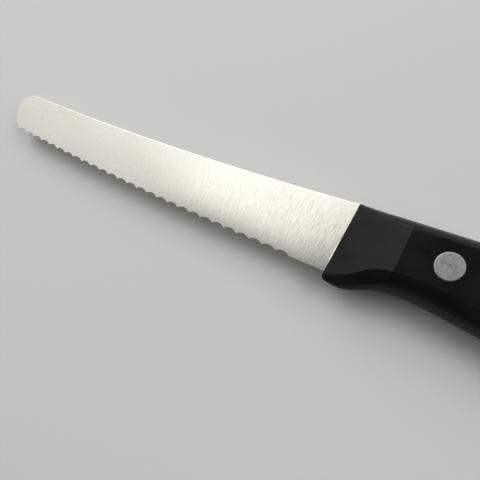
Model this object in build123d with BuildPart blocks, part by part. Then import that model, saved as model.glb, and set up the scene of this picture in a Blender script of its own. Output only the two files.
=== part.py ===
from build123d import *
import os
from math import asin, cos, degrees, radians, sin, sqrt, tan

# A serrated tomato knife lying on its right side: a stamped blade with a full-length tang, two moulded
# handle scales and three two-part rivets.
# +X runs from the tip to the butt, +Y from the edge to the spine, +Z up through the thickness.
# The outlines are drawn in the side plane, the middle of the blade's thickness, with X counted from the
# front of the handle and Y from the line of the serration points at its lowest.
# The part's origin is on the lower flat of the handle, midway between the front and middle rivets.

# Blade, in millimetres
blade_length = 139.4
blade_thickness = 1.6
heel_height = 22.6
spine_sag = 1.6
front_lean = 1.2
tip_length = 6.5
tip_spine_height = 15.6
tip_middle_height = 9.2
tip_edge_height = 0.8
tip_low_sweep = 72.5
edge_bow = 1.27
heel_edge_height = 1.45
plain_edge_length = 11.5
plain_edge_rise = 0.35

# Serrations and the grind that thins the blade towards them
scallop_count = 27
scallop_depth = 0.9
bevel_angle = 30.0
edge_thickness = 0.6
grind_height = 12.0

# Handle: the outline follows the handle's length and the blade's height at the heel
handle_length = 115.6
handle_thickness = 13.0
guard_drop = 0.45
guard_radius = 1.5
butt_top_radius = 5.0
beak_radius = 2.5

# Each row is one station: how far along the handle, then the belly's and the spine's height there
outline_shares = [
    (0.032, -0.042, 1.002),
    (0.070, 0.004, 1.004),
    (0.100, 0.077, 1.009),
    (0.135, 0.128, 1.016),
    (0.170, 0.153, 1.025),
    (0.222, 0.160, 1.044),
    (0.274, 0.146, 1.062),
    (0.343, 0.124, 1.082),
    (0.516, 0.084, 1.115),
    (0.654, 0.093, 1.119),
    (0.793, 0.142, 1.097),
    (0.870, 0.142, 1.071),
    (0.920, 0.080, 1.044),
    (0.957, 0.013, 1.018),
]

# Cross-section of the handle: elliptical rolls at the belly, the spine and the butt, which the ramp and
# the flat face cut off below their crown
crown_rise = 0.7
belly_roll = 11.5
belly_roll_at_front = 4.5
belly_roll_run = 10.5
spine_roll = 4.5
butt_roll = 14.0
butt_roll_reach = 3.0
ramp_foot = 1.6
ramp_angle = 14.4
side_land = 0.3

# Rivets
rivet_x = 27.3
rivet_y = 15.6
rear_rivet_inset = 29.3
rivet_places = ["front", "middle", "rear"]
rivet_head_diameter = 7.1
rivet_head_thickness = 1.4
rivet_tube_diameter = 5.0
rivet_stem_diameter = 3.2
rivet_end_gap = 0.4
fit_clearance = 0.03

# How far a cutting shape runs past what it cuts
overrun = 2.0

half_thickness = handle_thickness / 2
half_blade = blade_thickness / 2
scale_thickness = half_thickness - half_blade
head_seat = half_thickness - rivet_head_thickness
tube_top = head_seat - rivet_end_gap
stem_bottom = rivet_end_gap - head_seat

rivet_pitch = (handle_length - rear_rivet_inset - rivet_x) / (len(rivet_places) - 1)
rest_x = rivet_x + rivet_pitch / 2
side = Plane(origin=(-rest_x, -rivet_y, half_thickness))
rivet_spots = [(rivet_x + i * rivet_pitch, rivet_y) for i in range(len(rivet_places))]


def crossways(x):
    """The plane across the knife at x, with Y to the right and the thickness upwards."""
    return Plane(origin=side.from_local_coords((x, 0, 0)), x_dir=(0, 1, 0), z_dir=(1, 0, 0))


# Corners that the blade shares with the handle
front_top = Vector(front_lean / 2, heel_height)
heel = Vector(-front_lean / 2, heel_edge_height)
front_slope = (front_top - heel).normalized()
guard_corner = heel - front_slope * (heel.Y + guard_drop)

# Side outline of the handle, for the tang and both scales
belly_points = [(x * handle_length, belly * heel_height) for x, belly, _ in outline_shares]
spine_points = [(x * handle_length, spine * heel_height) for x, _, spine in outline_shares]
with BuildSketch() as handle_side:
    with BuildLine():
        belly_line = Spline(guard_corner, *belly_points)
        spine_line = Spline(front_top, *spine_points)
        butt_middle = (belly_line @ 1 + spine_line @ 1) / 2
        ThreePointArc(belly_line @ 1, Vector(handle_length, butt_middle.Y), spine_line @ 1)
        Line(guard_corner, front_top)
    make_face()
    corners = handle_side.vertices()
    fillet(corners.sort_by_distance(guard_corner)[0], guard_radius)
    fillet(corners.sort_by_distance(belly_line @ 1)[0], beak_radius)
    fillet(corners.sort_by_distance(spine_line @ 1)[0], butt_top_radius)

# Blade and tang: one steel plate
tip_middle = Vector(tip_length - blade_length, tip_middle_height)
with BuildPart() as blade:
    with BuildSketch(side.offset(-half_blade)):
        with BuildLine():
            low_radius = tip_middle_height - tip_edge_height
            high_radius = tip_spine_height - tip_middle_height
            tip_low = EllipticalCenterArc(
                tip_middle, tip_length, low_radius, 180, arc_size=tip_low_sweep
            )
            tip_high = EllipticalCenterArc(tip_middle, tip_length, high_radius, 90)
            SagittaArc(tip_high @ 0, front_top, -spine_sag)
            last_point = heel - Vector(plain_edge_length, plain_edge_rise)
            Polyline(
                front_top,
                front_top + Vector(overrun, -overrun),
                heel + Vector(overrun, overrun),
                heel,
                last_point,
                last_point - Vector(0, overrun),
                tip_low @ 1 - Vector(0, overrun),
                tip_low @ 1,
            )
        make_face()
    extrude(amount=blade_thickness)
    # Hollow relief on both sides, tangent to the flats
    with BuildSketch(crossways(-blade_length - overrun)):
        with BuildLine():
            relief = TangentArc(
                (grind_height, half_blade), (0, edge_thickness / 2), tangent=(-1, 0)
            )
            Polyline(
                relief @ 1,
                relief @ 1 - Vector(2 * overrun, 0),
                Vector(-2 * overrun, half_blade + overrun),
                relief @ 0 + Vector(0, overrun),
                relief @ 0,
            )
        make_face()
        mirror(about=Plane.XZ)
    extrude(amount=blade_length + 2 * overrun, mode=Mode.SUBTRACT)
    # Scallops: square to the left face, bevelled from the right
    with BuildSketch(side.offset(edge_thickness / 2)) as scallops:
        with BuildLine():
            edge_line = SagittaArc(tip_low @ 1, last_point, -edge_bow, mode=Mode.PRIVATE)
            for i in range(scallop_count):
                SagittaArc(
                    edge_line @ (i / scallop_count),
                    edge_line @ ((i + 1) / scallop_count),
                    scallop_depth,
                )
            Polyline(
                last_point,
                last_point - Vector(0, 2 * overrun),
                tip_low @ 1 - Vector(0, 2 * overrun),
                tip_low @ 1,
            )
        make_face()
    extrude(amount=overrun, mode=Mode.SUBTRACT)
    bevel_way = Vector(0, cos(radians(bevel_angle)), -sin(radians(bevel_angle)))
    extrude(scallops.sketch, amount=2 * overrun, dir=bevel_way, mode=Mode.SUBTRACT)
    # Tang
    with BuildSketch(side.offset(-half_blade)):
        add(handle_side.sketch_local)
    extrude(amount=blade_thickness)
    with Locations(side):
        with Locations(*rivet_spots):
            Hole(rivet_tube_diameter / 2 + fit_clearance)


def ramp_at(x):
    """Height of the ramp above the tang."""
    return ramp_foot + x * tan(radians(ramp_angle))


def crown_at(x):
    """Height of the uncut scale above the tang, but for the ramp: a level run and a rolled butt."""
    roll = max(0, x - (handle_length + butt_roll_reach - butt_roll)) / butt_roll
    return (scale_thickness + crown_rise) * sqrt(1 - min(roll, 1) ** 2)


def belly_roll_at(x):
    """Width of the belly's roll, which grows behind the front."""
    return min(belly_roll, belly_roll_at_front + x * (belly_roll - belly_roll_at_front) / belly_roll_run)


def rolled_section(x, low, high):
    """The uncut scale's section at x, above the tang: level on top, with an elliptical roll at each side.
    The level stands over the ramp as the crown stands over the flat face."""
    crown = crown_at(x)
    belly_width = belly_roll_at(x)
    level = min(crown, ramp_at(x) * (1 + crown_rise / scale_thickness))
    spine_sweep = degrees(asin(level / crown))
    with BuildSketch(crossways(x)) as section:
        with BuildLine():
            belly_middle = Vector(low + belly_width, half_blade)
            spine_middle = Vector(high - spine_roll, half_blade)
            belly_arc = EllipticalCenterArc(belly_middle, belly_width, level, 90)
            spine_arc = EllipticalCenterArc(spine_middle, spine_roll, crown, arc_size=spine_sweep)
            Line(spine_arc @ 1, belly_arc @ 0)
            Line(belly_arc @ 1, spine_arc @ 0)
        make_face()
    return section.sketch


# Rolled body: a scale before its outline, flat face and holes are cut. It stands out past the outline
# by the side land, which leaves a low upright land beside the tang. The ramp slants across its front.
stations = [
    (belly[0], belly[1] - side_land, spine[1] + side_land)
    for belly, spine in zip(belly_points, spine_points)
]
front_stations = [(-overrun, *stations[0][1:]), (0, *stations[0][1:])]
butt_station = (handle_length + butt_roll_reach / 3, *stations[-1][1:])
lengthways = Plane(origin=side.from_local_coords((0, 0, half_blade)), x_dir=(1, 0, 0), z_dir=(0, -1, 0))
ramp_end = (scale_thickness - ramp_foot) / tan(radians(ramp_angle)) + overrun
with BuildPart() as rolled_body:
    loft([rolled_section(*station) for station in [*front_stations, *stations, butt_station]])
    with BuildSketch(lengthways):
        with BuildLine():
            Polyline(
                (-overrun, ramp_at(-overrun)),
                (ramp_end, ramp_at(ramp_end)),
                (-overrun, ramp_at(ramp_end)),
                close=True,
            )
        make_face()
    extrude(amount=2 * heel_height, both=True, mode=Mode.SUBTRACT)

# Scales
with BuildPart() as left_scale:
    with BuildSketch(side.offset(half_blade)):
        add(handle_side.sketch_local)
    extrude(amount=scale_thickness)
    add(rolled_body.part, mode=Mode.INTERSECT)
    with Locations(side.offset(half_thickness)):
        with Locations(*rivet_spots):
            CounterBoreHole(
                rivet_tube_diameter / 2 + fit_clearance,
                rivet_head_diameter / 2 + fit_clearance,
                rivet_head_thickness,
            )

with BuildPart() as right_scale:
    mirror(left_scale.part, about=side)

os.makedirs("parts", exist_ok=True)
for name, piece in [("blade", blade), ("left_scale", left_scale), ("right_scale", right_scale)]:
    piece.part.label = name
    export_step(piece.part, f"parts/{name}.step")


def disc(height, spot, diameter):
    """A circle at a rivet's spot, at a height above the side plane."""
    with BuildSketch(side.offset(height)) as circle:
        with Locations(spot):
            Circle(diameter / 2)
    return circle.sketch


# Rivets: the stem's head is flush with the left scale, the socket's with the right one
for place, spot in zip(rivet_places, rivet_spots):
    with BuildPart() as stem:
        extrude(disc(head_seat, spot, rivet_head_diameter), rivet_head_thickness)
        extrude(disc(stem_bottom, spot, rivet_stem_diameter), head_seat - stem_bottom)
    with BuildPart() as socket:
        tube_length = tube_top + head_seat
        bore = disc(-head_seat, spot, rivet_stem_diameter + 2 * fit_clearance)
        extrude(disc(-half_thickness, spot, rivet_head_diameter), rivet_head_thickness)
        extrude(disc(-head_seat, spot, rivet_tube_diameter), tube_length)
        extrude(bore, tube_length, mode=Mode.SUBTRACT)
    for half, piece in [("stem", stem), ("socket", socket)]:
        name = f"{place}_rivet_{half}"
        piece.part.label = name
        export_step(piece.part, f"parts/{name}.step")
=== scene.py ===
from functools import partial

import bmesh
import bpy
import numpy as np
from bpy.props import FloatProperty, FloatVectorProperty, IntProperty, PointerProperty
from mathutils import Matrix, Vector


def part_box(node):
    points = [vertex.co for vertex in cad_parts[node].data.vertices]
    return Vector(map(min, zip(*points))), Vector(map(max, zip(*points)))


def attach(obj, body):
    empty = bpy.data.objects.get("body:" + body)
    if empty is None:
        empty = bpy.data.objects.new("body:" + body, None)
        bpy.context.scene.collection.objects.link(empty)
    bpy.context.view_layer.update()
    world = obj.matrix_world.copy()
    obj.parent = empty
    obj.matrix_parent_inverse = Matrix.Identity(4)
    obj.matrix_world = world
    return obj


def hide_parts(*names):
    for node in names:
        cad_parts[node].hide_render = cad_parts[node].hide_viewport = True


bl_info = {
    "name": "Serrated Tomato Knife",
    "version": (1, 0, 0),
    "blender": (4, 5, 0),
    "location": "View3D > Sidebar > Knife",
    "description": "Builds the blade, scales and rivets of a serrated tomato knife, and its studio",
    "category": "Add Mesh",
}

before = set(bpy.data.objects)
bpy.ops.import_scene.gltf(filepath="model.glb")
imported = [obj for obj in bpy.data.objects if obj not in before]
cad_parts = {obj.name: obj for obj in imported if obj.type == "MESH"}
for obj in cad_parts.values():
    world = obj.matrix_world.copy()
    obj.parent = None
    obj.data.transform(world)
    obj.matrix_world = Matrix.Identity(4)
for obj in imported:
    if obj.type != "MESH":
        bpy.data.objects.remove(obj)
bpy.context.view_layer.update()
scale_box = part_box("left_scale")
blade_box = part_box("blade")
stem_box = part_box("front_rivet_stem")

mm = 0.001

# The side coordinates: X from the front of the handle to the butt, Y from the line of the serration
# points to the spine, Z up from the middle of the blade's thickness
handle_length = 115.6 * mm
rivet_height = 15.6 * mm
stem_middle = (stem_box[0] + stem_box[1]) / 2
side_origin = Vector((scale_box[1].x - handle_length, stem_middle.y - rivet_height, scale_box[1].z / 2))
half_handle = scale_box[1].z - side_origin.z
scale_thickness = scale_box[1].z - scale_box[0].z
rivet_places = ("front", "middle", "rear")

# Edges that turn by more than this stay sharp
sharp_angle = np.radians(32)

# How far behind the handle's front the first loops stand, where its corner is rounded
front_steps = np.array([0, 0.01, 0.05, 0.12, 0.2, 0.3]) * mm

# Each row is one station of the handle's outline: how far along the handle, then the belly's and the
# spine's height there, as shares of the blade's height at the heel
outline_shares = np.array([
    (0.032, -0.042, 1.001), (0.070, 0.004, 1.008),
    (0.100, 0.077, 1.018), (0.135, 0.128, 1.030),
    (0.170, 0.153, 1.042), (0.222, 0.160, 1.061),
    (0.274, 0.146, 1.079), (0.343, 0.124, 1.096),
    (0.516, 0.084, 1.115), (0.654, 0.093, 1.118),
    (0.793, 0.142, 1.097), (0.870, 0.142, 1.071),
    (0.920, 0.080, 1.044), (0.957, 0.013, 1.018),
])


# Settings


def number(name, description, default, **kind):
    """A number of the kind that its limits, unit and subtype say."""
    return FloatProperty(name=name, description=description, default=default, **kind)


def numbers(name, description, default, **kind):
    """Three such numbers: a colour, a place or a direction."""
    return FloatVectorProperty(name=name, description=description, default=default, **kind)


metres = partial(number, min=0, unit="LENGTH")
radians = partial(number, subtype="ANGLE")
watts = partial(number, min=0, unit="POWER")
factor_property = partial(number, min=0, max=1, subtype="FACTOR")
rgb = partial(numbers, min=0, max=1, subtype="COLOR")
direction = partial(numbers, subtype="DIRECTION")


class BladeSettings(bpy.types.PropertyGroup):
    """Sizes and finish of the blade and its tang."""

    thickness: metres("Thickness", "Thickness of the plate", blade_box[1].z - blade_box[0].z)
    heel_height: metres("Heel Height", "Height of the blade at the handle", 22.6 * mm)
    spine_sag: metres("Spine Sag", "Dip of the spine below a straight line", 1.6 * mm)
    front_lean: metres("Front Lean", "Lean of the line between blade and handle", 1.2 * mm)
    tip_length: metres("Tip Length", "Length of the rounded tip", 6.5 * mm)
    tip_spine_height: metres("Tip Spine Height", "Height of the spine at the tip", 15.6 * mm)
    tip_middle_height: metres("Tip Middle Height", "Height of the foremost point", 9.2 * mm)
    tip_edge_height: metres("Tip Edge Height", "Height of the tip's lower round", 0.8 * mm)
    tip_low_sweep: radians("Tip Low Sweep", "Angle of the tip's lower round", np.radians(72.5))
    edge_bow: metres("Edge Bow", "Outward bow of the serrated edge", 1.27 * mm)
    heel_edge_height: metres("Heel Edge Height", "Height of the edge at the handle", 1.45 * mm)
    plain_edge_length: metres("Plain Edge Length", "Length without scallops", 11.5 * mm)
    plain_edge_rise: metres("Plain Edge Rise", "Rise of the plain edge", 0.35 * mm)
    scallop_count: IntProperty(name="Scallops", description="Number of scallops", default=27, min=1)
    scallop_depth: metres("Scallop Depth", "Depth of one scallop", 0.9 * mm)
    bevel_angle: radians("Bevel Angle", "Angle of the scallops' grind", np.radians(30))
    edge_thickness: metres("Edge Thickness", "Thickness at the serration line", 0.6 * mm)
    grind_height: metres("Grind Height", "Height at which the blade starts to thin", 12 * mm)
    relief_step: metres("Relief Step", "Length of the grind's step at the handle", 0.25 * mm)
    corner: metres("Corner Radius", "Rounding of the plate's corners", 0.1 * mm)
    keen_corner: metres("Keen Corner Radius", "Rounding of the scallops' corners", 0.02 * mm)
    guard_drop: metres("Guard Drop", "Drop of the guard below the edge", 0.45 * mm)
    colour: rgb("Steel Colour", "Colour of the satin steel", (0.79, 0.79, 0.71))
    dark_colour: rgb("Brushed Colour", "Colour of the deep lines", (0.50, 0.48, 0.40))


class HandleSettings(bpy.types.PropertyGroup):
    """Sizes and finish of the handle's scales."""

    guard_radius: metres("Guard Radius", "Rounding of the guard's lower corner", 1.5 * mm)
    butt_top_radius: metres("Butt Top Radius", "Rounding of the butt's upper corner", 5 * mm)
    beak_radius: metres("Beak Radius", "Rounding of the butt's lower corner", 2.5 * mm)
    crown_rise: metres("Crown Rise", "Height of the rolls above the flat face", 0.7 * mm)
    belly_roll: metres("Belly Roll", "Width of the rounding at the belly", 11.5 * mm)
    front_roll: metres("Front Roll", "Width of that rounding at the handle's front", 4.5 * mm)
    roll_run: metres("Roll Run", "Length over which that rounding grows", 10.5 * mm)
    spine_roll: metres("Spine Roll", "Width of the rounding at the spine", 5 * mm)
    spine_flare: factor_property("Spine Flare", "Widening of that rounding along the ramp", 0.4)
    butt_roll: metres("Butt Roll", "Length of the rounding at the butt", 14 * mm)
    butt_roll_reach: metres("Butt Reach", "Run of the rounding past the butt", 3 * mm)
    ramp_foot: metres("Ramp Foot", "Height of the ramp's front above the blade", 1.6 * mm)
    ramp_angle: radians("Ramp Angle", "Slope of the ramp at the front", np.radians(14.4))
    side_land: metres("Side Land", "Upright part of the rolls beside the tang", 0.3 * mm)
    front_land: metres("Front Land", "That part at the spine's front", 0.05 * mm)
    land_run: metres("Land Run", "Length over which it grows", 10 * mm)
    crease: metres("Crease", "Softness of the creases round the flat face", 0.05 * mm)
    spine_crease: metres("Spine Crease", "Softness of their edge at the spine", 0.12 * mm)
    corner: metres("Corner Radius", "Rounding of the scale's front corner", 0.2 * mm)
    colour: rgb("Plastic Colour", "Colour of the moulded handle", (0.0050, 0.0058, 0.0052))


class RivetSettings(bpy.types.PropertyGroup):
    """Sizes and finish of the two-part rivets."""

    head_diameter: metres("Head Diameter", "Width of both heads", stem_box[1].x - stem_box[0].x)
    head_thickness: metres("Head Thickness", "Thickness of both heads", 1.4 * mm)
    tube_diameter: metres("Tube Diameter", "Outer diameter of the socket's tube", 5 * mm)
    stem_diameter: metres("Stem Diameter", "Diameter of the stem", 3.2 * mm)
    end_gap: metres("End Gap", "Gap beyond the end of the stem and the tube", 0.4 * mm)
    clearance: metres("Clearance", "Gap round the heads, tube and stem", 0.03 * mm)
    corner: metres("Corner Radius", "Rounding of the heads' rims", 0.1 * mm)
    colour: rgb("Rivet Colour", "Colour of the ground aluminium", (0.50, 0.51, 0.50))


class StageSettings(bpy.types.PropertyGroup):
    """Floor, light and camera."""

    floor_size: metres("Floor Size", "Side of the square floor", 3.6)
    floor_colour: rgb("Floor Colour", "Colour of the floor", (0.70, 0.70, 0.69))
    background_colour: rgb("Background", "Colour seen past the floor", (0.62, 0.62, 0.61))
    camera_place: numbers(
        "Camera Place", "Where the camera stands", (-17.2 * mm, -12.75 * mm, 130.73 * mm),
        subtype="TRANSLATION", unit="LENGTH",
    )
    camera_look: direction("Camera Look", "Way the camera looks", (-0.3924, -0.0265, -0.9194))
    camera_right: direction("Camera Right", "The picture's right", (0.8289, 0.423, -0.366))
    focal_share: number("Focal Share", "Focal length as a share of the picture's width", 444 / 480)
    horizon_light: number("Horizon Light", "Light from low down", 0.75, min=0)
    zenith_light: number("Zenith Light", "Light from overhead", 0.17, min=0)
    dark_side: factor_property("Dark Side", "Share of that light on the near and right side", 0.2)
    near_power: watts("Near Power", "Power of the near sheet lamp", 1.9)
    strip_power: watts("Strip Power", "Power of the strip lamp beside it", 0.42)
    far_power: watts("Far Power", "Power of the far sheet lamp", 2.42)
    back_power: watts("Back Power", "Power of the lamp behind", 8)
    side_power: watts("Side Power", "Power of the lamp past the butt", 9)


# Lines of points


def unit(vectors):
    """The vectors divided by their lengths."""
    return vectors / np.linalg.norm(vectors, axis=-1, keepdims=True)


def travel(line):
    """Distance along a line of points from its start to each point: the running sum of its steps."""
    return np.concatenate([[0], np.cumsum(np.linalg.norm(np.diff(line, axis=0), axis=1))])


def at_travel(line, distances):
    """Points of the line at the given distances along it, each coordinate interpolated linearly."""
    run = travel(line)
    return np.stack([np.interp(distances, run, line[:, axis]) for axis in range(line.shape[1])], axis=-1)


def spline(points, count):
    """Points on the natural cubic spline through the given points.

    Each coordinate is a cubic of the chord length between neighbours. Its second derivatives solve the
    tridiagonal system that makes the slopes agree, and are zero at both ends.
    """
    knots = travel(points)
    steps = np.diff(knots)
    slopes = np.diff(points, axis=0) / steps[:, None]
    inner = np.arange(1, len(points) - 1)
    system = np.eye(len(points))
    system[inner, inner - 1] = steps[:-1]
    system[inner, inner] = 2 * (steps[:-1] + steps[1:])
    system[inner, inner + 1] = steps[1:]
    jumps = np.zeros_like(points)
    jumps[1:-1] = 6 * np.diff(slopes, axis=0)
    bends = np.linalg.solve(system, jumps)
    places = np.linspace(0, knots[-1], count)
    i = np.clip(np.searchsorted(knots, places, side="right") - 1, 0, len(steps) - 1)
    step = steps[i][:, None]
    before = (places - knots[i])[:, None]
    after = (knots[i + 1] - places)[:, None]
    curved = (bends[i] * after**3 + bends[i + 1] * before**3) / (6 * step)
    straight = (points[i] / step - bends[i] * step / 6) * after
    return curved + straight + (points[i + 1] / step - bends[i + 1] * step / 6) * before


def bowed(start, end, bow, share):
    """Points on circular arcs that stand off their chords by bow, to the left of the way.

    With c half the chord and R = (c^2 + bow^2) / (2 |bow|), the arc stands off the chord at the share t
    by sqrt(R^2 - c^2 (2t - 1)^2) - (R - |bow|). There may be one start and end, or a column of them.
    """
    chord = end - start
    half = np.linalg.norm(chord, axis=-1, keepdims=True) / 2
    radius = (half**2 + bow**2) / (2 * abs(bow))
    stand_off = np.sqrt(radius**2 - (half * (2 * share - 1)) ** 2) - (radius - abs(bow))
    left = unit(np.stack([-chord[..., 1], chord[..., 0]], axis=-1))
    along = start[..., None, :] + chord[..., None, :] * share[:, None]
    return along + left[..., None, :] * (np.sign(bow) * stand_off)[..., None]


def rounded(first, second, radius):
    """Joins two lines that meet in a corner by a round.

    Both are cut back by radius * tan(turn / 2). A cubic curve with handles 4/3 tan(turn / 4) * radius
    long joins the cut ends. Its tangents run from each cut end to a point just beyond it.
    """
    way_in, way_out = unit(first[-1] - first[-2]), unit(second[1] - second[0])
    turn = np.arccos(np.clip(way_in @ way_out, -1, 1))
    reach = radius * np.tan(turn / 2)
    run_in, run_out = travel(first), travel(second)
    cut = reach * np.array([1, 1.02])
    start, before = at_travel(first, run_in[-1] - cut)
    end, after = at_travel(second, cut)
    handle = 4 / 3 * np.tan(turn / 4) * radius
    pull_in = start + unit(start - before) * handle
    pull_out = end - unit(after - end) * handle
    t = np.linspace(0, 1, 24)[:, None]
    first_half = (1 - t) ** 3 * start + 3 * t * (1 - t) ** 2 * pull_in
    curve = first_half + 3 * t**2 * (1 - t) * pull_out + t**3 * end
    return np.concatenate([first[run_in < run_in[-1] - reach], curve, second[run_out > reach]])


def smooth_least(a, b, softness):
    """The lesser of a and b, with the crease between them rounded over the softness.

    Where a and b differ by less than the softness k, the result is lower by (k - |a - b|)^2 / (4 k).
    """
    near = np.maximum(softness - np.abs(a - b), 0)
    return np.minimum(a, b) - near**2 / (4 * softness)


# Meshes


def to_frame(points):
    """Points of the side coordinates in the frame's own."""
    return points + np.array(side_origin)


def new_object(name, data):
    """An object in the scene."""
    thing = bpy.data.objects.new(name, data)
    bpy.context.scene.collection.objects.link(thing)
    return thing


def tube_faces(rows, columns):
    """Four-sided faces between neighbouring rows of a grid whose columns close on themselves."""
    row, column = np.meshgrid(np.arange(rows - 1), np.arange(columns), indexing="ij")
    beside = (column + 1) % columns
    here, there = row * columns, (row + 1) * columns
    corners = [here + column, here + beside, there + beside, there + column]
    return np.stack(corners, axis=-1).reshape(-1, 4)


def solid_from_rows(name, points, capped_start=False):
    """A closed mesh from rows of points, each row a loop. Loops that shrink to a point or a line need
    no cap, because their doubled points are merged."""
    rows, columns = points.shape[:2]
    faces = tube_faces(rows, columns).tolist()
    if capped_start:
        faces.append(list(range(columns)))
    mesh = bpy.data.meshes.new(name)
    mesh.from_pydata(to_frame(points).reshape(-1, 3), [], faces)
    shell = bmesh.new()
    shell.from_mesh(mesh)
    bmesh.ops.remove_doubles(shell, verts=shell.verts, dist=0.0005 * mm)
    bmesh.ops.dissolve_degenerate(shell, edges=shell.edges, dist=0.0002 * mm)
    bmesh.ops.recalc_face_normals(shell, faces=shell.faces)
    shell.to_mesh(mesh)
    shell.free()
    mesh.shade_smooth()
    mesh.set_sharp_from_angle(angle=sharp_angle)
    return new_object(name, mesh)


def turned_solid(name, profile, spot):
    """A closed mesh of revolution: the profile's (radius, height) pairs go round an upright axis at the
    spot, each at (radius cos a, radius sin a, height)."""
    angle = np.linspace(0, 2 * np.pi, 96, endpoint=False)
    radius, height = np.array(profile).T
    ring = np.stack([np.cos(angle), np.sin(angle)], axis=-1)
    flat = spot + radius[:, None, None] * ring
    heights = np.broadcast_to(height[:, None, None], (*flat.shape[:2], 1))
    return solid_from_rows(name, np.concatenate([flat, heights], axis=-1))


def cut_away(piece, cutters):
    """Cuts the cutters out of the piece for good, and removes them."""
    for cutter in cutters:
        cut = piece.modifiers.new(cutter.name, "BOOLEAN")
        cut.operation = "DIFFERENCE"
        cut.solver = "EXACT"
        cut.object = cutter
    bpy.context.view_layer.update()
    evaluated = piece.evaluated_get(bpy.context.evaluated_depsgraph_get())
    finished = bpy.data.meshes.new_from_object(evaluated)
    piece.modifiers.clear()
    piece.data = finished
    finished.set_sharp_from_angle(angle=sharp_angle)
    for cutter in cutters:
        bpy.data.objects.remove(cutter)


def hand_over(piece, material, slot, *nodes):
    """Gives a finished piece its material and body, and hides the CAD nodes that it stands for. The slot
    is not used.
    """
    piece.data.materials.clear()
    piece.data.materials.append(material)
    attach(piece, "root")
    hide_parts(*nodes)


# The handle's outline, shared by the tang and the scales


def front_corners(blade):
    """Top and heel of the line where the blade enters the handle, and the guard's unrounded corner."""
    top = np.array([blade.front_lean / 2, blade.heel_height])
    heel = np.array([-blade.front_lean / 2, blade.heel_edge_height])
    slope = unit(top - heel)
    return top, heel, heel - slope * (heel[1] + blade.guard_drop)


def handle_chains(blade, handle):
    """The belly's and the spine's lines of points, both from the handle's front to the butt's middle."""
    top, heel, guard = front_corners(blade)
    x, *heights = outline_shares.T
    belly_line, spine_line = (
        spline(np.vstack([start, np.stack([x * handle_length, y * blade.heel_height], axis=-1)]), 400)
        for start, y in zip((guard, top), heights)
    )
    middle = (belly_line[-1] + spine_line[-1]) / 2
    butt = bowed(belly_line[-1], spine_line[-1], middle[0] - handle_length, np.linspace(0, 1, 161))
    front = np.linspace(heel, guard, 40)
    half = len(butt) // 2
    low = rounded(rounded(front, belly_line, handle.guard_radius), butt[: half + 1], handle.beak_radius)
    high = rounded(spine_line, butt[half:][::-1], handle.butt_top_radius)
    return low, high


def chain_height(line, x):
    """Height of a chain at x, over the stretch where it runs lengthways."""
    forward = np.concatenate([[True], np.diff(np.maximum.accumulate(line[:, 0])) > 0])
    return np.interp(x, line[forward, 0], line[forward, 1])


def cross_lines(low, high):
    """Lengths and directions of the lines from the low to the high ends."""
    width = np.linalg.norm(high - low, axis=1)
    return width, (high - low) / np.maximum(width, 1e-9)[:, None]


def handle_rows(blade, handle):
    """Ends of the cross lines that both the tang and the scales are built on, belly ends and spine ends.

    They start on the handle's front line, turn square to the handle within a few millimetres, crowd
    where the ramp meets the flat face, and run together at the middle of the butt.
    """
    low, high = handle_chains(blade, handle)
    run_low, run_high = travel(low), travel(high)
    ramp_end = face_start(handle)
    square_from, square_to = 4.5 * mm, 105 * mm
    near = np.concatenate([front_steps, np.linspace(0.5, 3.2, 7) * mm])
    squared = np.concatenate([
        np.linspace(square_from, ramp_end - 0.4 * mm, 13),
        ramp_end + np.array([-0.2, -0.1]) * mm,
        ramp_end + np.linspace(0, 1, 16) ** 2 * 3.2 * mm,
        np.linspace(ramp_end + 3.9 * mm, square_to, 60),
    ])
    lean_run, lean_reach = 10 * mm, 1.1 * mm
    lean = np.clip(1 - squared / lean_run, 0, 1) * lean_reach
    forward = low[:, 0].argmin()
    low_run = np.interp(squared - lean, low[forward:, 0], run_low[forward:])
    high_run = np.interp(squared + lean, high[:, 0], run_high)
    last = np.linspace(0, 1, 46)[1:]
    low_last = low_run[-1] + (run_low[-1] - low_run[-1]) * last
    high_last = high_run[-1] + (run_high[-1] - high_run[-1]) * last
    low_ends = at_travel(low, np.concatenate([near, low_run, low_last]))
    high_ends = at_travel(high, np.concatenate([near, high_run, high_last]))
    return low_ends, high_ends


# The scales' height


def crown_at(handle, x):
    """Height of the uncut scale above the tang: level, and a quarter ellipse that falls at the butt."""
    roll_start = handle_length + handle.butt_roll_reach - handle.butt_roll
    roll = np.clip((x - roll_start) / handle.butt_roll, 0, 1)
    return (scale_thickness + handle.crown_rise) * np.sqrt(1 - roll**2)


def cut_at(handle, x):
    """Height at which the rolls are cut off: the lesser of a straight ramp and the flat face."""
    ramp = handle.ramp_foot + x * np.tan(handle.ramp_angle)
    return smooth_least(ramp, scale_thickness, handle.crease)


def belly_roll_at(handle, x):
    """Width and height of the belly's roll. The width grows behind the front. The height is the crown's,
    and along the ramp it stands over the cut by the same share as the crown does over the flat face."""
    width = handle.front_roll + x * (handle.belly_roll - handle.front_roll) / handle.roll_run
    level = cut_at(handle, x) * (1 + handle.crown_rise / scale_thickness)
    return np.minimum(width, handle.belly_roll), np.minimum(level, crown_at(handle, x))


def spine_roll_at(handle, x):
    """Width of the spine's roll, which widens along the ramp, and its part beyond the outline, the
    land, which shrinks there."""
    width = handle.spine_roll + handle.spine_flare * np.maximum(face_start(handle) - x, 0)
    grown = np.clip(x / handle.land_run, 0, 1)
    return width, handle.front_land + (handle.side_land - handle.front_land) * grown


def face_start(handle):
    """Where the ramp reaches the flat face."""
    return (scale_thickness - handle.ramp_foot) / np.tan(handle.ramp_angle)


def quarter_round(share):
    """Height of a quarter ellipse at a share of its width, from 0 at the rim to 1 at the crown."""
    return np.sqrt(1 - (1 - np.clip(share, 0, 1)) ** 2)


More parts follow.
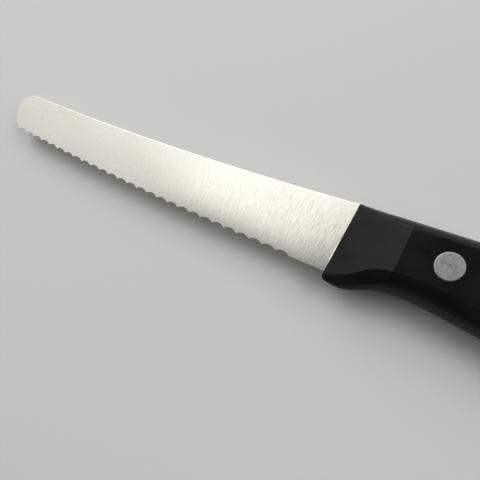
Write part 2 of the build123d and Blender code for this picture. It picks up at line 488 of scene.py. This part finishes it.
def scale_height(handle, outline, points):
    """Height of a scale above the tang at points of the side plane.

    It is the least of the cut, the belly's quarter ellipse and the spine's quarter ellipse under the
    crown. Each meeting is rounded.
    """
    x, y = points[..., 0], points[..., 1]
    belly_width, belly_level = belly_roll_at(handle, x)
    spine_width, spine_land = spine_roll_at(handle, x)
    from_belly = y - chain_height(outline[0], x) + handle.side_land
    from_spine = chain_height(outline[1], x) + spine_land - y
    belly = belly_level * quarter_round(from_belly / belly_width)
    spine = crown_at(handle, x) * quarter_round(from_spine / spine_width)
    belly_and_cut = smooth_least(belly, cut_at(handle, x), handle.crease)
    return smooth_least(belly_and_cut, spine, handle.spine_crease)


def crease_share(height, crown):
    """Share of a quarter ellipse's width at which it reaches a height."""
    return 1 - np.sqrt(1 - np.clip(height / crown, 0, 1) ** 2)


def make_scale(name, blade, handle, upwards):
    """One handle scale: rows of loops from the front to the butt, each loop up the belly's wall, over
    the top and down the spine's wall. The height is a function of the place in the side plane."""
    low, high = handle_rows(blade, handle)
    outline = [roll_line(chain) for chain in handle_chains(blade, handle)]
    width, way = cross_lines(low, high)
    width, way = width[:, None], way[:, None]

    # Where the cut crosses the belly's and the spine's roll, as distances from the ends of the row, each
    # at most a share of the row
    belly_most, spine_most, spine_least = 0.55, 0.3, 0.06 * mm
    x = (low[:, :1] + high[:, :1]) / 2
    belly_width, belly_level = belly_roll_at(handle, x)
    belly = belly_width * crease_share(cut_at(handle, x), belly_level) - handle.side_land
    belly = np.minimum(belly, belly_most * width)
    spine_width, spine_land = spine_roll_at(handle, x)
    spine = spine_width * crease_share(cut_at(handle, x), crown_at(handle, x)) - spine_land
    spine = np.minimum(np.maximum(spine, spine_least), spine_most * width)

    # Places along the row: they crowd beside both creases and towards both ends
    beside = np.minimum(np.array([0.8, 0.6, 0.4, 0.25, 0.12, 0.05, 0.0]) * mm, 0.04 * width)
    shares = np.array([0, 0.012, 0.03, 0.055, 0.09, 0.13, 0.18, 0.25, 0.33, 0.43, 0.54, 0.66, 0.78, 0.9])
    face_low, face_high = belly + beside[:, :1], width - spine - beside[:, :1]
    at_belly = belly + np.hstack([-beside, beside[:, -2::-1]])
    along = np.hstack([
        (belly - beside[:, :1]) * shares,
        at_belly[:, 1:-1],
        face_low + (face_high - face_low) * np.linspace(0, 1, 15),
        (width - spine - beside)[:, 1:],
        width - spine * shares[::-1] * 0.96,
    ])
    spots = low[:, None] + np.sort(along, axis=1)[..., None] * way

    # The front's corner is a quarter circle that the first rows stand on
    behind = np.concatenate([front_steps, np.full(len(low) - len(front_steps), handle.corner)])[:, None]
    short = handle.corner - np.minimum(behind, handle.corner)
    top = scale_height(handle, outline, spots)
    top = top - handle.corner + np.sqrt(np.maximum(handle.corner**2 - short**2, 0))
    points = np.concatenate([spots, top[..., None]], axis=-1)

    walls = [np.repeat(points[:, [end]], 4, axis=1) for end in (0, -1)]
    for wall in walls:
        wall[..., 2:] *= np.array([0, 0.06, 0.5, 0.94])[:, None]
    floor = low[:, None] + (np.linspace(1, 0, 8)[1:-1] * width)[..., None] * way
    floor = np.concatenate([floor, np.zeros_like(floor[..., :1])], axis=-1)
    loops = np.hstack([walls[0], points, walls[1][:, ::-1], floor])
    loops[..., 2] += blade.thickness / 2
    if not upwards:
        loops[..., 2] *= -1
    return solid_from_rows(name, loops, capped_start=True)


def roll_line(chain):
    """The stretch of a chain that the roll follows, without the guard's round and the butt's."""
    return chain[(chain[:, 0] > 3.7 * mm) & (chain[:, 0] < outline_shares[-1, 0] * handle_length)]


# The blade


def blade_rows(blade, handle):
    """Ends of the cross lines of the whole steel plate, from the tip to the butt, with how far the
    scallops' bevel reaches in each row, from 0 to 1."""
    top, heel, _ = front_corners(blade)
    length = side_origin.x - blade_box[0].x
    middle = np.array([blade.tip_length - length, blade.tip_middle_height])
    low_radii = np.array([blade.tip_length, blade.tip_middle_height - blade.tip_edge_height])
    high_radii = np.array([blade.tip_length, blade.tip_spine_height - blade.tip_middle_height])
    turn = np.linspace(0, 1, 34)[:, None] ** 1.3
    low_angle, high_angle = blade.tip_low_sweep * turn, np.pi / 2 * turn
    tip_low = middle - low_radii * np.hstack([np.cos(low_angle), np.sin(low_angle)])
    tip_high = middle - high_radii * np.hstack([np.cos(high_angle), -np.sin(high_angle)])
    plain_end = heel - np.array([blade.plain_edge_length, blade.plain_edge_rise])
    cusps = bowed(tip_low[-1], plain_end, -blade.edge_bow, np.linspace(0, 1, blade.scallop_count + 1))
    share = np.linspace(0, 1, 13)[1:]
    scallops = bowed(cusps[:-1], cusps[1:], blade.scallop_depth, share).reshape(-1, 2)
    short = 1 - blade.relief_step / blade.plain_edge_length
    plain_share = np.concatenate([np.linspace(0, 0.93, 13)[1:], [short, (1 + short) / 2, 1]])
    plain = plain_end + (heel - plain_end) * plain_share[:, None]
    edge = np.concatenate([scallops, plain])
    spine = bowed(tip_high[-1], top, -blade.spine_sag, np.linspace(0, 1, 600))
    across = np.interp(edge[:, 0], [tip_low[-1, 0], heel[0]], [tip_high[-1, 0], top[0]])
    upper = np.stack([across, np.interp(across, spine[:, 0], spine[:, 1])], axis=-1)
    tang_low, tang_high = handle_rows(blade, handle)
    low = np.concatenate([tip_low, edge, tang_low])
    # The tang's first row would end on the blade's last one, so it starts a hair behind it
    hair = np.array([0.01 * mm, 0]) * (tang_high == top).all(axis=1)[:, None]
    high = np.concatenate([tip_high, upper, tang_high + hair])
    bevel = np.concatenate([
        np.zeros(len(tip_low)),
        np.minimum(1, np.arange(1, len(scallops) + 1) / 3),
        np.clip(1 - np.arange(1, len(plain) + 1), 0, 1),
        np.zeros(len(tang_low)),
    ])
    return low, high, bevel


def half_thickness_at(blade, x, y):
    """Half the plate's thickness: full in the tang and above the grind, and below it less by the sagitta
    of a large circle, R - sqrt(R^2 - depth^2), which runs out in a short step at the handle."""
    full, thin = blade.thickness / 2, blade.edge_thickness / 2
    radius = (blade.grind_height**2 + (full - thin) ** 2) / (2 * (full - thin))
    depth = np.clip(blade.grind_height - y, 0, blade.grind_height)
    top, heel, _ = front_corners(blade)
    front = heel[0] + (y - heel[1]) * (top[0] - heel[0]) / (top[1] - heel[1])
    sagitta = radius - np.sqrt(radius**2 - depth**2)
    return full - sagitta * np.clip((front - x) / blade.relief_step, 0, 1)


def make_blade(name, blade, handle):
    """The blade and the tang: rows of loops from the tip to the butt, each loop down the left side,
    across the edge and up the right side. The scallops' bevel rises from the left side at its angle."""
    low, high, bevel = blade_rows(blade, handle)
    width, way = cross_lines(low, high)
    edge_half = half_thickness_at(blade, low[:, 0], low[:, 1])
    rise = 2 * edge_half / np.tan(blade.bevel_angle)
    for _ in range(4):
        far_half = half_thickness_at(blade, low[:, 0], low[:, 1] + rise)
        rise = (edge_half + far_half) / np.tan(blade.bevel_angle)
    corner = blade.corner + (blade.keen_corner - blade.corner) * (bevel > 0)
    width, rise, edge_half, corner = (v[:, None] for v in (width, rise * bevel, edge_half, corner))
    corner = np.minimum(corner, 0.2 * width)
    spine_corner = np.minimum(blade.corner, 0.2 * width)

    # Places along the row on both sides, and half the thickness there
    shares = np.array([
        0, 0.004, 0.02, 0.06, 0.12, 0.2, 0.28, 0.36, 0.44, 0.52, 0.6, 0.7, 0.8, 0.9, 0.97, 0.996, 1,
    ])
    left = corner + (width - corner - spine_corner) * shares[::-1]
    right_start = rise + corner
    right = right_start + (width - right_start - spine_corner) * shares
    left_half, right_half = (
        half_thickness_at(blade, *np.moveaxis(low[:, None] + along[..., None] * way[:, None], -1, 0))
        for along in (left, right)
    )
    full, far = left_half[:, :1], right_half[:, :1]

    # The land from the left side's edge to the right side's, and the points that round the corners
    out, down = np.hsplit(unit(np.hstack([rise, -(far + edge_half)])), 2)
    inset = 0.27
    along = np.hstack([
        width, width - inset * spine_corner, left,
        inset * corner * (1 + out), corner * out,
        rise - corner * out, rise + inset * corner * (1 - out), right,
        width - inset * spine_corner, width,
    ])
    height = np.hstack([
        full - spine_corner, full - inset * spine_corner, left_half,
        edge_half + inset * corner * down, edge_half + corner * down,
        -far - corner * down, -far - inset * corner * down, -right_half,
        -full + inset * spine_corner, -full + spine_corner,
    ])
    flat = low[:, None] + along[..., None] * way[:, None]
    return solid_from_rows(name, np.concatenate([flat, height[..., None]], axis=-1))


# The rivets


def rivet_spot(place):
    """Where a rivet's axis crosses the side plane."""
    lowest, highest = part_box(f"{place}_rivet_stem")
    return np.array((lowest + highest) / 2 - side_origin)[:2]


def head_profile(rivet, height, outwards):
    """Profile points of a head's face and rounded rim. outwards is 1 for a head that faces up, -1 for
    one that faces down."""
    radius, corner = rivet.head_diameter / 2, rivet.corner
    drop = 0.29 * corner
    return [
        (0, height), (0.5 * radius, height), (0.9 * radius, height), (radius - corner, height),
        (radius - drop, height - outwards * drop), (radius, height - outwards * corner),
    ]


def make_stem(name, rivet, spot):
    """A headed stem, its head flush with the left scale."""
    seat = half_handle - rivet.head_thickness
    radius, shank = rivet.head_diameter / 2, rivet.stem_diameter / 2
    shaft = [(radius, seat), (shank, seat), (shank, rivet.end_gap - seat), (0, rivet.end_gap - seat)]
    return turned_solid(name, head_profile(rivet, half_handle, 1) + shaft, spot)


def make_socket(name, rivet, spot):
    """A headed tube, its head flush with the right scale, that the stem goes into."""
    seat = rivet.head_thickness - half_handle
    radius, tube = rivet.head_diameter / 2, rivet.tube_diameter / 2
    bore, end = rivet.stem_diameter / 2 + rivet.clearance, -seat - rivet.end_gap
    shaft = [(radius, seat), (tube, seat), (tube, end), (bore, end), (bore, seat), (0, seat)]
    return turned_solid(name, head_profile(rivet, -half_handle, -1) + shaft, spot)


def rivet_holes(rivet, through, upwards):
    """Cutters for the rivets' holes, each through the piece and wider where the head sits. upwards says
    whether that is above or below, and is None for plain holes."""
    seat = half_handle - rivet.head_thickness
    tube, head = rivet.tube_diameter / 2 + rivet.clearance, rivet.head_diameter / 2 + rivet.clearance
    profile = [(0, -through), (tube, -through)]
    profile += [(tube, through)] if upwards is None else [(tube, seat), (head, seat), (head, through)]
    profile += [(0, through)]
    if upwards is False:
        profile = [(radius, -height) for radius, height in profile]
    return [turned_solid("hole", profile, rivet_spot(place)) for place in rivet_places]


# Materials


def opaque(colour, factor=1):
    """The colour times the factor, with an alpha of 1."""
    return (*(min(1, factor * c) for c in colour), 1)


class NodeTree:
    """Adds shader nodes to a tree. An input given as a node's output is linked, and any other is set."""

    def __init__(self, tree):
        self.tree = tree

    def put(self, socket, value):
        if isinstance(value, bpy.types.NodeSocket):
            self.tree.links.new(value, socket)
        else:
            socket.default_value = value

    def feed(self, node, inputs):
        for key, value in inputs.items():
            self.put(node.inputs[key], value)

    def add(self, kind, inputs=None, **settings):
        node = self.tree.nodes.new("ShaderNode" + kind)
        for key, value in settings.items():
            setattr(node, key, value)
        self.feed(node, inputs or {})
        return node

    def math(self, operation, *values, clamp=False):
        inputs = dict(enumerate(values))
        return self.add("Math", inputs, operation=operation, use_clamp=clamp).outputs[0]

    def times(self, first, second):
        return self.math("MULTIPLY", first, second)

    def spread(self, value, low, high, to_low=0.0, to_high=1.0):
        """The value's stretch from low to high, laid on to_low to to_high."""
        inputs = {"Value": value, "From Min": low, "From Max": high, "To Min": to_low, "To Max": to_high}
        return self.add("MapRange", inputs).outputs["Result"]

    def noise(self, vector, scale, detail=2.0, roughness=0.5):
        inputs = {"Vector": vector, "Scale": scale, "Detail": detail, "Roughness": roughness}
        return self.add("TexNoise", inputs).outputs["Fac"]

    def stretched(self, vector, scales=(1, 1, 1), turn=0):
        """The place, scaled apart along each axis and turned about Z."""
        inputs = {"Vector": vector, "Scale": scales, "Rotation": (0, 0, turn)}
        return self.add("Mapping", inputs).outputs[0]

    def blend(self, share, first, second):
        """A colour between the first and the second one. Only the enabled sockets are for colours."""
        node = self.add("Mix", data_type="RGBA")
        enabled = {socket.name: socket for socket in node.inputs if socket.enabled}
        for key, value in (("Factor", share), ("A", first), ("B", second)):
            self.put(enabled[key], value)
        return [socket for socket in node.outputs if socket.type == "RGBA"][0]

    def bump(self, height, strength, distance):
        inputs = {"Height": height, "Strength": strength, "Distance": distance}
        return self.add("Bump", inputs).outputs[0]


def group(name, numbers, results):
    """A new shader node group that takes a Vector and the named numbers, with defaults, and gives the
    named results: its nodes, what it takes and its output node."""
    tree = bpy.data.node_groups.new(name, "ShaderNodeTree")
    tree.interface.new_socket("Vector", in_out="INPUT", socket_type="NodeSocketVector")
    for label, default in numbers.items():
        socket = tree.interface.new_socket(label, in_out="INPUT", socket_type="NodeSocketFloat")
        socket.default_value = default
    for label in results:
        tree.interface.new_socket(label, in_out="OUTPUT", socket_type="NodeSocketFloat")
    return NodeTree(tree), tree.nodes.new("NodeGroupInput").outputs, tree.nodes.new("NodeGroupOutput")


def brushing_group():
    """Parallel brush lines: a coarse and a fine noise, both drawn out along Y."""
    sizes = {"Line Width": 0.35 * mm, "Line Length": 8 * mm}
    nodes, given, out = group("Brush Lines", sizes, ("Lines", "Fine Lines"))
    across = nodes.math("DIVIDE", 1.0, given["Line Width"])
    along = nodes.math("DIVIDE", 1.0, given["Line Length"])
    scales = nodes.add("CombineXYZ", {"X": across, "Y": along, "Z": along}).outputs[0]
    factors = {0: given["Vector"], 1: scales}
    placed = nodes.add("VectorMath", factors, operation="MULTIPLY").outputs[0]
    coarse = nodes.noise(placed, 1.0, 1.0, 0.4)
    fine = nodes.noise(nodes.stretched(placed, (3.7, 1.6, 1.6)), 1.0, 2.0, 0.6)
    lines = {"Lines": nodes.spread(coarse, 0.3, 0.7), "Fine Lines": nodes.spread(fine, 0.3, 0.7)}
    nodes.feed(out, lines)
    return nodes.tree


def specks_group():
    """Sparse small specks: the middles of scattered cells, with a noise that leaves most of them out."""
    nodes, given, out = group("Specks", {"Spacing": 2 * mm, "Size": 0.05}, ("Mask",))
    scale = nodes.math("DIVIDE", 1.0, given["Spacing"])
    cells = nodes.add("TexVoronoi", {"Vector": given["Vector"], "Scale": scale})
    near = nodes.math("LESS_THAN", cells.outputs["Distance"], given["Size"])
    chosen = nodes.noise(given["Vector"], 180.0, 1.0)
    nodes.feed(out, {"Mask": nodes.times(near, nodes.spread(chosen, 0.52, 0.6))})
    return nodes.tree


def new_material(name):
    """An empty material with its Principled shader linked, its nodes and its Object coordinates."""
    material = bpy.data.materials.new(name)
    material.use_nodes = True
    material.node_tree.nodes.clear()
    nodes = NodeTree(material.node_tree)
    shader = nodes.add("BsdfPrincipled")
    nodes.add("OutputMaterial", {"Surface": shader.outputs[0]})
    return material, nodes, shader, nodes.add("TexCoord").outputs["Object"]


def brush_lines(nodes, vector, width, length):
    """Brush lines of a width and length, from the one node group that the materials share."""
    shared = bpy.data.node_groups.get("Brush Lines") or brushing_group()
    inputs = {"Vector": vector, "Line Width": width, "Line Length": length}
    return nodes.add("Group", inputs, node_tree=shared).outputs


def steel_material(blade):
    """Satin steel, brushed from spine to edge. The lines are drawn darker towards the handle, a painted
    reflection of where they catch the light, and fainter beside the spine, which leaves a painted
    highlight along it.
    """
    material, nodes, shader, place = new_material("satin_steel")
    lines = brush_lines(nodes, place, 0.21 * mm, 3.2 * mm)
    axes = nodes.add("SeparateXYZ", {"Vector": place}).outputs
    # Painted reflection: the brush lines are drawn darker towards the handle, where they catch the
    # light, and they fade near the edge
    painted_heel_reflection = nodes.spread(axes["X"], side_origin.x - 60 * mm, side_origin.x - 8 * mm, 0.1, 1.0)
    above_edge = nodes.spread(axes["Y"], side_origin.y + 1.5 * mm, side_origin.y + 6 * mm, 0.3, 1.0)
    # Painted highlight: the lines fade beside the spine, which leaves a lighter band along it
    painted_spine_highlight = nodes.spread(axes["Y"], side_origin.y + 15 * mm, side_origin.y + 21 * mm, 1.0, 0.4)
    brushing_and_painted_light = nodes.times(painted_heel_reflection, nodes.times(above_edge, painted_spine_highlight))
    deep = nodes.times(nodes.spread(lines["Lines"], 0.45, 0.9), brushing_and_painted_light)
    cloud = nodes.noise(nodes.stretched(place, (60.0, 90.0, 60.0)), 1.0, 3.0)
    faint_cloud = nodes.times(nodes.spread(cloud, 0.4, 0.7), 0.10)
    shade = nodes.math("ADD", nodes.times(deep, 0.5), faint_cloud, clamp=True)
    height = nodes.math("ADD", lines["Lines"], nodes.times(lines["Fine Lines"], 0.2))
    nodes.feed(shader, {
        "Base Color": nodes.blend(shade, opaque(blade.colour), opaque(blade.dark_colour)),
        "Metallic": 1.0,
        "Roughness": nodes.spread(lines["Fine Lines"], 0.0, 1.0, 0.2, 0.3),
        "Normal": nodes.bump(nodes.times(height, brushing_and_painted_light), 1.0, 0.004 * mm),
    })
    return material


def plastic_material(handle):
    """Satin black moulded plastic with a fine grain, faint smears and a few specks of dust."""
    material, nodes, shader, place = new_material("moulded_plastic")
    smear = nodes.noise(nodes.stretched(place, (90.0, 160.0, 160.0)), 1.0, 4.0, 0.6)
    inputs = {"Vector": place, "Spacing": 1.6 * mm, "Size": 0.05}
    specks = nodes.add("Group", inputs, node_tree=specks_group()).outputs["Mask"]
    smeared = nodes.spread(smear, 0.35, 0.75, 0.0, 0.25)
    body = nodes.blend(smeared, opaque(handle.colour), opaque(handle.colour, 4))
    dust_colour = (0.25, 0.25, 0.24, 1)
    grain, coarse = nodes.noise(place, 9000.0, 2.0, 0.6), nodes.noise(place, 2200.0, 2.0, 0.5)
    height = nodes.math("ADD", grain, nodes.times(coarse, 0.8))
    nodes.feed(shader, {
        "Base Color": nodes.blend(nodes.times(specks, 0.5), body, dust_colour),
        "Roughness": nodes.spread(smear, 0.3, 0.75, 0.17, 0.26),
        "Specular IOR Level": 0.2,
        "Normal": nodes.bump(height, 0.1, 0.02 * mm),
    })
    return material


def rivet_material(rivet):
    """Ground aluminium with fine lines one way and deeper, patchy scratches across them."""
    material, nodes, shader, place = new_material("ground_aluminium")
    one_way = nodes.stretched(place, turn=np.radians(25))
    other_way = nodes.stretched(place, turn=np.radians(-62))
    fine = brush_lines(nodes, one_way, 0.12 * mm, 3 * mm)
    deep = brush_lines(nodes, other_way, 0.4 * mm, 2.4 * mm)
    worn = nodes.spread(nodes.noise(place, 500.0, 4.0, 0.65), 0.42, 0.62)
    scratches = nodes.times(nodes.spread(deep["Lines"], 0.55, 0.8), worn)
    lined = nodes.times(fine["Lines"], 0.35)
    shade = nodes.math("ADD", lined, nodes.times(scratches, 0.45))
    shade = nodes.math("ADD", shade, nodes.times(worn, 0.15), clamp=True)
    nodes.feed(shader, {
        "Base Color": nodes.blend(shade, opaque(rivet.colour), opaque(rivet.colour, 0.3)),
        "Metallic": 1.0,
        "Roughness": nodes.spread(fine["Fine Lines"], 0.0, 1.0, 0.38, 0.55),
        "Normal": nodes.bump(nodes.math("SUBTRACT", fine["Lines"], scratches), 0.3, 0.01 * mm),
    })
    return material


def backdrop_rays(nodes):
    """1 for rays that see the backdrop, by the camera, in a mirror or through glass, 0 for the rest."""
    path = nodes.add("LightPath").outputs
    mirrored = nodes.math("MAXIMUM", path["Is Glossy Ray"], path["Is Transmission Ray"])
    return nodes.math("MAXIMUM", path["Is Camera Ray"], mirrored)


def floor_material(stage):
    """A plain matt floor, which runs out into the colour of the backdrop far from the knife."""
    material, nodes, shader, place = new_material("plain_floor")
    away = nodes.add("VectorMath", {0: place}, operation="LENGTH").outputs["Value"]
    far = nodes.times(nodes.spread(away, 0.3, 0.9), backdrop_rays(nodes))
    glow = nodes.add("Emission", {"Color": opaque(stage.background_colour), "Strength": 1.0})
    mixed = nodes.add("MixShader", {0: far, 1: shader.outputs[0], 2: glow.outputs[0]})
    nodes.feed(material.node_tree.get_output_node("ALL"), {"Surface": mixed.outputs[0]})
    tone = nodes.noise(place, 6.0, 2.0)
    nodes.feed(shader, {
        "Base Color": nodes.blend(tone, opaque(stage.floor_colour), opaque(stage.floor_colour, 1.03)),
        "Roughness": 0.9,
        "Specular IOR Level": 0.1,
    })
    return material


# Stage

# Each row is one lamp: its name, place, size and what it faces, in metres
lamps = (
    ("near", (-0.51, 0.385, 1.0), (0.48, 1.03), (-0.51, 0.385, 0)),
    ("strip", (-0.215, 0.475, 1.0), (0.11, 0.85), (-0.215, 0.475, 0)),
    ("far", (-1.25, 0.275, 1.0), (1.0, 1.25), (-1.25, 0.275, 0)),
    ("back", (-0.86, 0.84, 0.86), (1.1, 0.9), (-0.05, 0, 0)),
    ("side", (0.9, 0.8, 0.9), (1.1, 0.9), (-0.05, 0, 0)),
)


def make_floor(stage):
    """A square floor under the knife."""
    half = stage.floor_size / 2
    corners = [(-half, -half, 0), (half, -half, 0), (half, half, 0), (-half, half, 0)]
    mesh = bpy.data.meshes.new("floor")
    mesh.from_pydata(corners, [], [(0, 1, 2, 3)])
    floor = new_object("floor", mesh)
    mesh.materials.append(floor_material(stage))


def make_lamp(name, place, size, aim, power):
    """A rectangular area lamp at a place, that faces the aim."""
    data = bpy.data.lights.new(name, "AREA")
    data.shape = "RECTANGLE"
    data.size, data.size_y = size
    data.energy = power
    lamp = new_object(name, data)
    lamp.location = place
    lamp.rotation_euler = (Vector(aim) - Vector(place)).to_track_quat("-Z", "Y").to_euler()


def make_world(stage):
    """Soft light from the far and the left side, strongest near the horizon and weakest overhead, and a
    plain backdrop round the horizon."""
    world = bpy.data.worlds.new("studio")
    bpy.context.scene.world = world
    world.use_nodes = True
    nodes = NodeTree(world.node_tree)
    way = nodes.add("TexCoord").outputs["Generated"]
    axes = nodes.add("SeparateXYZ", {"Vector": way}).outputs
    lit_side = nodes.math("SUBTRACT", axes["Y"], nodes.times(axes["X"], 0.5))
    light = nodes.spread(axes["Z"], 0.1, 0.95, stage.horizon_light, stage.zenith_light)
    light = nodes.times(light, nodes.spread(lit_side, -0.7, 0.7, stage.dark_side, 1.0))
    seen = nodes.times(nodes.spread(axes["Z"], 0.2, 0.4, 1.0, 0.0), backdrop_rays(nodes))
    nodes.feed(world.node_tree.nodes["Background"], {
        "Color": nodes.blend(seen, (1, 1, 1, 1), opaque(stage.background_colour)),
        "Strength": nodes.spread(seen, 0.0, 1.0, light, 1.0),
    })


def make_camera(stage):
    """The camera at the photograph's viewing angle."""
    look = Vector(stage.camera_look).normalized()
    right = Vector(stage.camera_right)
    right = (right - look * right.dot(look)).normalized()
    up = right.cross(look)
    data = bpy.data.cameras.new("camera")
    data.lens = data.sensor_width * stage.focal_share
    data.clip_start = 1 * mm
    camera = new_object("camera", data)
    turned = Matrix((right, up, -look)).transposed()
    camera.matrix_world = Matrix.Translation(Vector(stage.camera_place)) @ turned.to_4x4()
    bpy.context.scene.camera = camera


# Operators


class KNIFE_OT_blade(bpy.types.Operator):
    """Build the serrated blade and its tang"""

    bl_idname = "knife.blade"
    bl_label = "Blade and Tang"

    def execute(self, context):
        scene = context.scene
        blade = make_blade("satin_blade", scene.knife_blade, scene.knife_handle)
        cut_away(blade, rivet_holes(scene.knife_rivet, 3 * mm, None))
        hand_over(blade, steel_material(scene.knife_blade), "blade_steel", "blade")
        return {"FINISHED"}


class KNIFE_OT_scales(bpy.types.Operator):
    """Build both handle scales"""

    bl_idname = "knife.scales"
    bl_label = "Handle Scales"

    def execute(self, context):
        scene = context.scene
        plastic = plastic_material(scene.knife_handle)
        for side, upwards in (("left", True), ("right", False)):
            grip = make_scale(f"{side}_grip", scene.knife_blade, scene.knife_handle, upwards)
            cut_away(grip, rivet_holes(scene.knife_rivet, 9 * mm, upwards))
            hand_over(grip, plastic, "handle_plastic", f"{side}_scale")
        return {"FINISHED"}


class KNIFE_OT_rivets(bpy.types.Operator):
    """Build the stems and sockets of the three rivets"""

    bl_idname = "knife.rivets"
    bl_label = "Rivets"

    def execute(self, context):
        rivet = context.scene.knife_rivet
        aluminium = rivet_material(rivet)
        for place in rivet_places:
            for half, make in (("stem", make_stem), ("socket", make_socket)):
                piece = make(f"{place}_{half}", rivet, rivet_spot(place))
                hand_over(piece, aluminium, "rivet_metal", f"{place}_rivet_{half}")
        return {"FINISHED"}


class KNIFE_OT_stage(bpy.types.Operator):
    """Set up the floor, the light and the camera"""

    bl_idname = "knife.stage"
    bl_label = "Studio"

    def execute(self, context):
        stage = context.scene.knife_stage
        make_floor(stage)
        make_world(stage)
        for name, *where in lamps:
            make_lamp(name, *where, getattr(stage, f"{name}_power"))
        make_camera(stage)
        context.scene.view_settings.view_transform = "Standard"
        return {"FINISHED"}


class KNIFE_PT_sidebar(bpy.types.Panel):
    """Buttons and settings for the knife"""

    bl_label = "Tomato Knife"
    bl_space_type = "VIEW_3D"
    bl_region_type = "UI"
    bl_category = "Knife"

    def draw(self, context):
        for operator in operators:
            self.layout.operator(operator.bl_idname)
        for name, _ in settings:
            box = self.layout.box()
            values = getattr(context.scene, name)
            box.label(text=name.replace("_", " ").title())
            for key in values.__annotations__:
                box.prop(values, key)


operators = (KNIFE_OT_stage, KNIFE_OT_blade, KNIFE_OT_scales, KNIFE_OT_rivets)
settings = (
    ("knife_blade", BladeSettings),
    ("knife_handle", HandleSettings),
    ("knife_rivet", RivetSettings),
    ("knife_stage", StageSettings),
)


def register():
    for name, kind in settings:
        bpy.utils.register_class(kind)
        setattr(bpy.types.Scene, name, PointerProperty(type=kind))
    for kind in (*operators, KNIFE_PT_sidebar):
        bpy.utils.register_class(kind)


def unregister():
    for kind in (KNIFE_PT_sidebar, *reversed(operators)):
        bpy.utils.unregister_class(kind)
    for name, kind in reversed(settings):
        delattr(bpy.types.Scene, name)
        bpy.utils.unregister_class(kind)


def main():
    register()
    bpy.ops.knife.stage()
    bpy.ops.knife.blade()
    bpy.ops.knife.scales()
    bpy.ops.knife.rivets()


if __name__ == "__main__":
    main()
